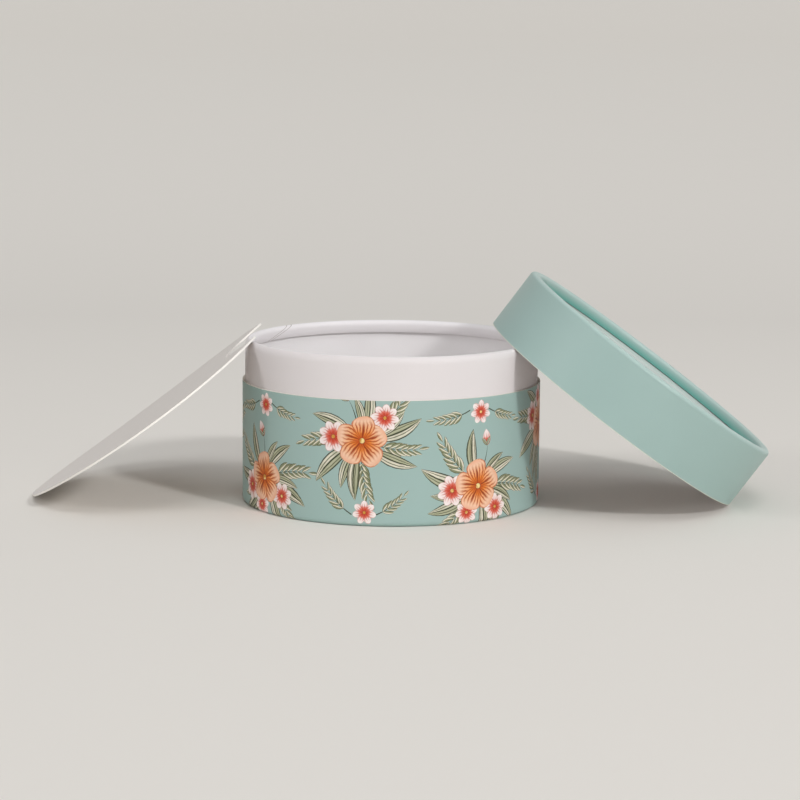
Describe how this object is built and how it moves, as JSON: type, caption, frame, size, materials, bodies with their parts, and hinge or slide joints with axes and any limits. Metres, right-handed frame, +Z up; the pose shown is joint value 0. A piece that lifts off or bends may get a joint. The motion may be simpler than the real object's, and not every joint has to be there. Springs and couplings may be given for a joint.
{
  "type": "cylindrical gift tube box",
  "caption": "Round floral gift tube box shown open: base with a white neck, lid and notched cover card leaning on it.",
  "frame": {"origin": "middle of the base's underside, on the surface it stands on", "axes": "+Z up, +X towards the leaning lid, -Y towards the viewer"},
  "size_m": [0.2977, 0.123, 0.0923],
  "materials": {
    "shell_board": "greyish white board with a straight cut edge",
    "printed_paper": "matt mint paper with a scattered floral print",
    "foot_paper": "matt white paper",
    "disc_board": "plain board",
    "neck_board": "white-faced board",
    "neck_paper": "smooth white paper",
    "floor_card": "smooth white card",
    "lid_board": "white-faced board",
    "lid_paper": "matt mint paper",
    "top_paper": "smooth white paper with a slight sheen",
    "top_board": "plain board",
    "ceiling_card": "smooth white card",
    "cover_card": "smooth white card"
  },
  "bodies": {
    "base": {"shell_tube": "shell_board", "printed_wrap": "printed_paper", "foot_facing": "foot_paper", "bottom_disc": "disc_board", "neck_tube": "neck_board", "neck_wrap": "neck_paper", "floor_lining": "floor_card"},
    "lid": {"lid_tube": "lid_board", "lid_wrap": "lid_paper", "top_facing": "top_paper", "top_disc": "top_board", "ceiling_lining": "ceiling_card"},
    "card": {"cover_card": "cover_card"}
  },
  "joints": [
    {"name": "lid_lift", "type": "slide", "parent": "base", "child": "lid", "axis": [0.5958, 0, 0.8031], "range_m": [0, 0.12]},
    {"name": "card_lift", "type": "slide", "parent": "base", "child": "card", "axis": [-0.5964, 0, 0.8027], "range_m": [0, 0.12]}
  ]
}
